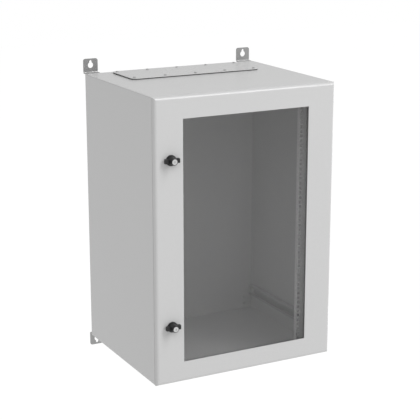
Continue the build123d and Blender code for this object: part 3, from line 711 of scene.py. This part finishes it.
# %% Pan head
head_sides, lean_in, crown_drop = 28, 0.28, 0.22
pan_tree, pan_in, pan_out = geometry_tree(
    "pan_head_screw", *SHARED, ("Head Radius", LENGTH, 0.0045), ("Head Height", LENGTH, 0.0028))
node, number = partial(step, pan_tree), partial(reckon, pan_tree)
head_r, head_h = pan_in.outputs["Head Radius"], pan_in.outputs["Head Height"]
head = node("GeometryNodeMeshCylinder", Vertices=head_sides, Side_Segments=6, Fill_Segments=3,
            Radius=head_r, Depth=head_h)
head = lifted(pan_tree, head.outputs["Mesh"], head_h, 0.5)
x, y, z = place_of(pan_tree)
rise = number("DIVIDE", z, head_h)
distance = number("SQRT", number("MULTIPLY_ADD", x, x, number("MULTIPLY", y, y)))
out_share = number("DIVIDE", distance, head_r)
lean = number("MULTIPLY_ADD", number("POWER", rise, 3.0), -lean_in, 1.0)
fall = number("MULTIPLY", number("POWER", out_share, 2.0), number("MULTIPLY", rise, crown_drop))
crown = number("MULTIPLY", z, number("SUBTRACT", 1.0, fall))
head = moved(pan_tree, head, lean, crown)
print("pan head:", len(pan_tree.nodes), "nodes so far")

# %% Cross recess and shank
recess_long, recess_slim, recess_centre = 1.05, 0.24, 0.98
wide = number("MULTIPLY", head_r, recess_long)
slim = number("MULTIPLY", head_r, recess_slim)
punched = node("GeometryNodeMeshBoolean", {"operation": "DIFFERENCE", "solver": "EXACT"}, Mesh_1=head)
for across, along in ((wide, slim), (slim, wide)):
    size = node("ShaderNodeCombineXYZ", X=across, Y=along, Z=head_h)
    block = node("GeometryNodeMeshCube", Size=size.outputs[0])
    block = lifted(pan_tree, block.outputs["Mesh"], head_h, recess_centre)
    pan_tree.links.new(block, punched.inputs["Mesh 2"])
screw = joined(pan_tree, punched.outputs[0], shank_of(pan_tree, pan_in))
repeat_on_points(pan_tree, pan_in, pan_out, screw)
print("pan-head tree:", len(pan_tree.nodes), "nodes")

# %% Roof, profile and hinge screws
fasten(pan_tree, "roof_cover_screws", "top_gland_screws", upward, 0.0028, slot="gland_screw_steel",
       Head_Radius=0.0045, Shank_Radius=0.0025, Shank_Length=0.0135, Pitch=0.0008, Seed=3)
fasten(pan_tree, "profile_clamp_screws", "profile_screws", to_middle, 0.004,
       Head_Radius=0.005, Shank_Radius=0.003, Shank_Length=0.0112, Pitch=0.001, Seed=5)
fasten(pan_tree, "hinge_arm_screws", "hinge_screws", to_wall, 0.0025,
       Head_Radius=0.0035, Shank_Radius=0.002, Shank_Length=0.0038, Pitch=0.0007, Seed=7)

# %% [markdown]
# ## Six-sided heads and nuts
#
# Bolts and nuts share one head: a hexagon whose top corners are turned off by a chamfer, on a
# round flange that spreads the load. A cylinder of 36 sides becomes a hexagon when each point's
# distance follows the flats, and the chamfer is the smaller of that and a cone.

# %% Hexagon
sixth, hex_sides = FULL_TURN / 6, 36
chamfer_from, chamfer_slope, corner_reach = 0.82, 1.2, 1.16
hex_tree, hex_in, hex_out = geometry_tree(
    "six_sided_fastener", *SHARED, ("Half Flats", LENGTH, 0.005), ("Head Height", LENGTH, 0.004),
    ("Flange Radius", LENGTH, 0.0062), ("Flange Height", LENGTH, 0.0008))
node, number = partial(step, hex_tree), partial(reckon, hex_tree)
half, tall = hex_in.outputs["Half Flats"], hex_in.outputs["Head Height"]
block = node("GeometryNodeMeshCylinder", Vertices=hex_sides, Side_Segments=6, Radius=half, Depth=tall)
block = lifted(hex_tree, block.outputs["Mesh"], tall, 0.5)
x, y, z = place_of(hex_tree)
swing = number("SUBTRACT", number("FLOORED_MODULO", number("ARCTAN2", y, x), sixth), sixth / 2)
flats = number("DIVIDE", 1.0, number("COSINE", swing))
near_top = number("MAXIMUM", 0.0, number("SUBTRACT", number("DIVIDE", z, tall), chamfer_from))
cone = number("MULTIPLY_ADD", near_top, -chamfer_slope, corner_reach)
block = moved(hex_tree, block, number("MINIMUM", flats, cone), z)
print("hexagon:", len(hex_tree.nodes), "nodes so far")

# %% Flange and shank
flange_r, flange_h = hex_in.outputs["Flange Radius"], hex_in.outputs["Flange Height"]
flange = node("GeometryNodeMeshCylinder", Vertices=hex_sides, Radius=flange_r, Depth=flange_h)
flange = lifted(hex_tree, flange.outputs["Mesh"], flange_h, 0.5)
bolt = joined(hex_tree, block, flange, shank_of(hex_tree, hex_in))
repeat_on_points(hex_tree, hex_in, hex_out, bolt)
print("hexagon tree:", len(hex_tree.nodes), "nodes")

# %% [markdown]
# ## Bolts, nuts and studs on their places
#
# A nut is the same head on a thin flange, with only a stub of shank, because the thread that fills
# it belongs to the stud. The earth nuts stand on a thicker flange, which is their washer. A stud is
# a threaded rod alone.

# %% Bolts and nuts
thin, stub = 0.0008, 0.0002
# piece, CAD node, way, head height, half flats, flange radius and height, shank radius and length
hexagons = (
    ("wall_bracket_bolts", "bracket_screws", to_wall, 0.004, 0.005, 0.0065, thin, 0.003, 0.011),
    ("wall_bracket_nuts", "bracket_nuts", to_door, 0.005, 0.005, 0.0065, thin, 0.0028, stub),
    ("window_strip_nuts", "window_nuts", to_wall, 0.0032, 0.0035, 0.0045, thin, 0.0018, stub),
    ("hinge_leaf_nuts", "hinge_nuts", to_wall, 0.004, 0.004, 0.0052, thin, 0.0023, stub),
    ("door_earth_nut_and_washer", "door_earth_nut", to_wall, 0.0064, 0.005, 0.0064, 0.0014, 0.0028, stub),
    ("floor_earth_nut_and_washer", "body_earth_nut", upward, 0.0081, 0.0065, 0.0085, 0.0016, 0.0038, stub),
    ("upper_cam_bolt", "upper_cam_screw", to_wall, 0.004, 0.007, 0.008, thin, 0.003, 0.011),
    ("lower_cam_bolt", "lower_cam_screw", to_wall, 0.004, 0.007, 0.008, thin, 0.003, 0.011),
)
first_seed = 11
for seed, (name, replaced, way, head_height, *sizes) in enumerate(hexagons, start=first_seed):
    half_flats, flange_radius, flange_height, radius, long = sizes
    fasten(hex_tree, name, replaced, way, head_height, Half_Flats=half_flats, Flange_Radius=flange_radius,
           Flange_Height=flange_height, Shank_Radius=radius, Shank_Length=long, Pitch=0.001, Seed=seed)

# %% Studs
# piece, CAD node, way, radius, length and pitch
studs = (
    ("window_strip_studs", "window_studs", to_wall, 0.002, 0.009, 0.0007),
    ("hinge_leaf_studs", "hinge_studs", to_wall, 0.0025, 0.007, 0.0008),
    ("door_earth_bolt_end", "door_earth_stud", to_wall, 0.003, 0.014, 0.001),
    ("floor_earth_bolt_end", "body_earth_stud", upward, 0.004, 0.018, 0.00125),
)
stud_tree, stud_in, stud_out = geometry_tree("threaded_stud", *SHARED)
repeat_on_points(stud_tree, stud_in, stud_out, shank_of(stud_tree, stud_in))
for name, replaced, way, radius, long, pitch in studs:
    fasten(stud_tree, name, replaced, way, 0.0, Shank_Radius=radius, Shank_Length=long, Pitch=pitch, Seed=2)

# %% [markdown]
# ## The foamed seal
#
# The seal is laid on the door's inner face by a nozzle that follows a rounded rectangle, and it
# sets with a crowned back. A curve with filleted corners is that path, and a rounded profile
# swept along it is the bead.


# %% Bead tree
def rounded_rectangle(tree, wide, tall, radius, points):
    """A curve round a rectangle, with so many points on the arc at each corner."""
    sharp = step(tree, "GeometryNodeCurvePrimitiveQuadrilateral", Width=wide, Height=tall)
    turned_off = step(tree, "GeometryNodeFilletCurve", {"mode": "POLY"}, Curve=sharp.outputs[0],
                      Count=points, Radius=radius)
    return turned_off.outputs[0]


bead_tree, bead_in, bead_out = geometry_tree(
    "foamed_bead", ("Geometry", "NodeSocketGeometry", None), ("Material", "NodeSocketMaterial", None),
    ("Path Width", LENGTH, 0.54), ("Path Height", LENGTH, 0.8), ("Corner Radius", LENGTH, 0.006),
    ("Bead Width", LENGTH, 0.01), ("Bead Height", LENGTH, 0.006), ("Bead Round", LENGTH, 0.0025))
corner_points, round_points = 10, 6
node, rounded = partial(step, bead_tree), partial(rounded_rectangle, bead_tree)
given = bead_in.outputs
path = rounded(given["Path Width"], given["Path Height"], given["Corner Radius"], corner_points)
form = rounded(given["Bead Width"], given["Bead Height"], given["Bead Round"], round_points)
bead = node("GeometryNodeCurveToMesh", Curve=path, Profile_Curve=form)
upright = node("GeometryNodeTransform", Geometry=bead.outputs[0], Rotation=(math.pi / 2, 0, 0))
smooth = node("GeometryNodeSetShadeSmooth", {"domain": "FACE"}, Geometry=upright.outputs[0])
painted = node("GeometryNodeSetMaterial", Geometry=smooth.outputs[0], Material=given["Material"])
real = node("GeometryNodeRealizeInstances", Geometry=painted.outputs[0])
bead_tree.links.new(real.outputs[0], bead_out.inputs[0])
print("bead tree:", len(bead_tree.nodes), "nodes")

# %% Seal on the door
seal_wide = 0.010
seal_low, seal_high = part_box("door_seal")
seal_size = seal_high - seal_low
centre_point = [(Vector((0, 0, 0)), to_wall)]
seal = grow(bead_tree, centre_point, "foamed_door_seal", "foam_seal", "door_seal",
            Path_Width=seal_size.x - seal_wide, Path_Height=seal_size.z - seal_wide, Corner_Radius=0.006,
            Bead_Width=seal_wide, Bead_Height=seal_size.y, Bead_Round=0.0024)
seal.data.transform(Matrix.Translation((seal_low + seal_high) / 2))
seal.data.update()
spots = np.array([vertex.co for vertex in seal.data.vertices])
print("bead from", in_mm(spots.min(axis=0)), "to", in_mm(spots.max(axis=0)))
print("CAD seal from", in_mm(seal_low), "to", in_mm(seal_high))

# %% [markdown]
# ## Check the size and finish
# The render shows the colours as they are written, with no film curve over them.

# %% Colour view
scene.view_settings.view_transform = "Standard"
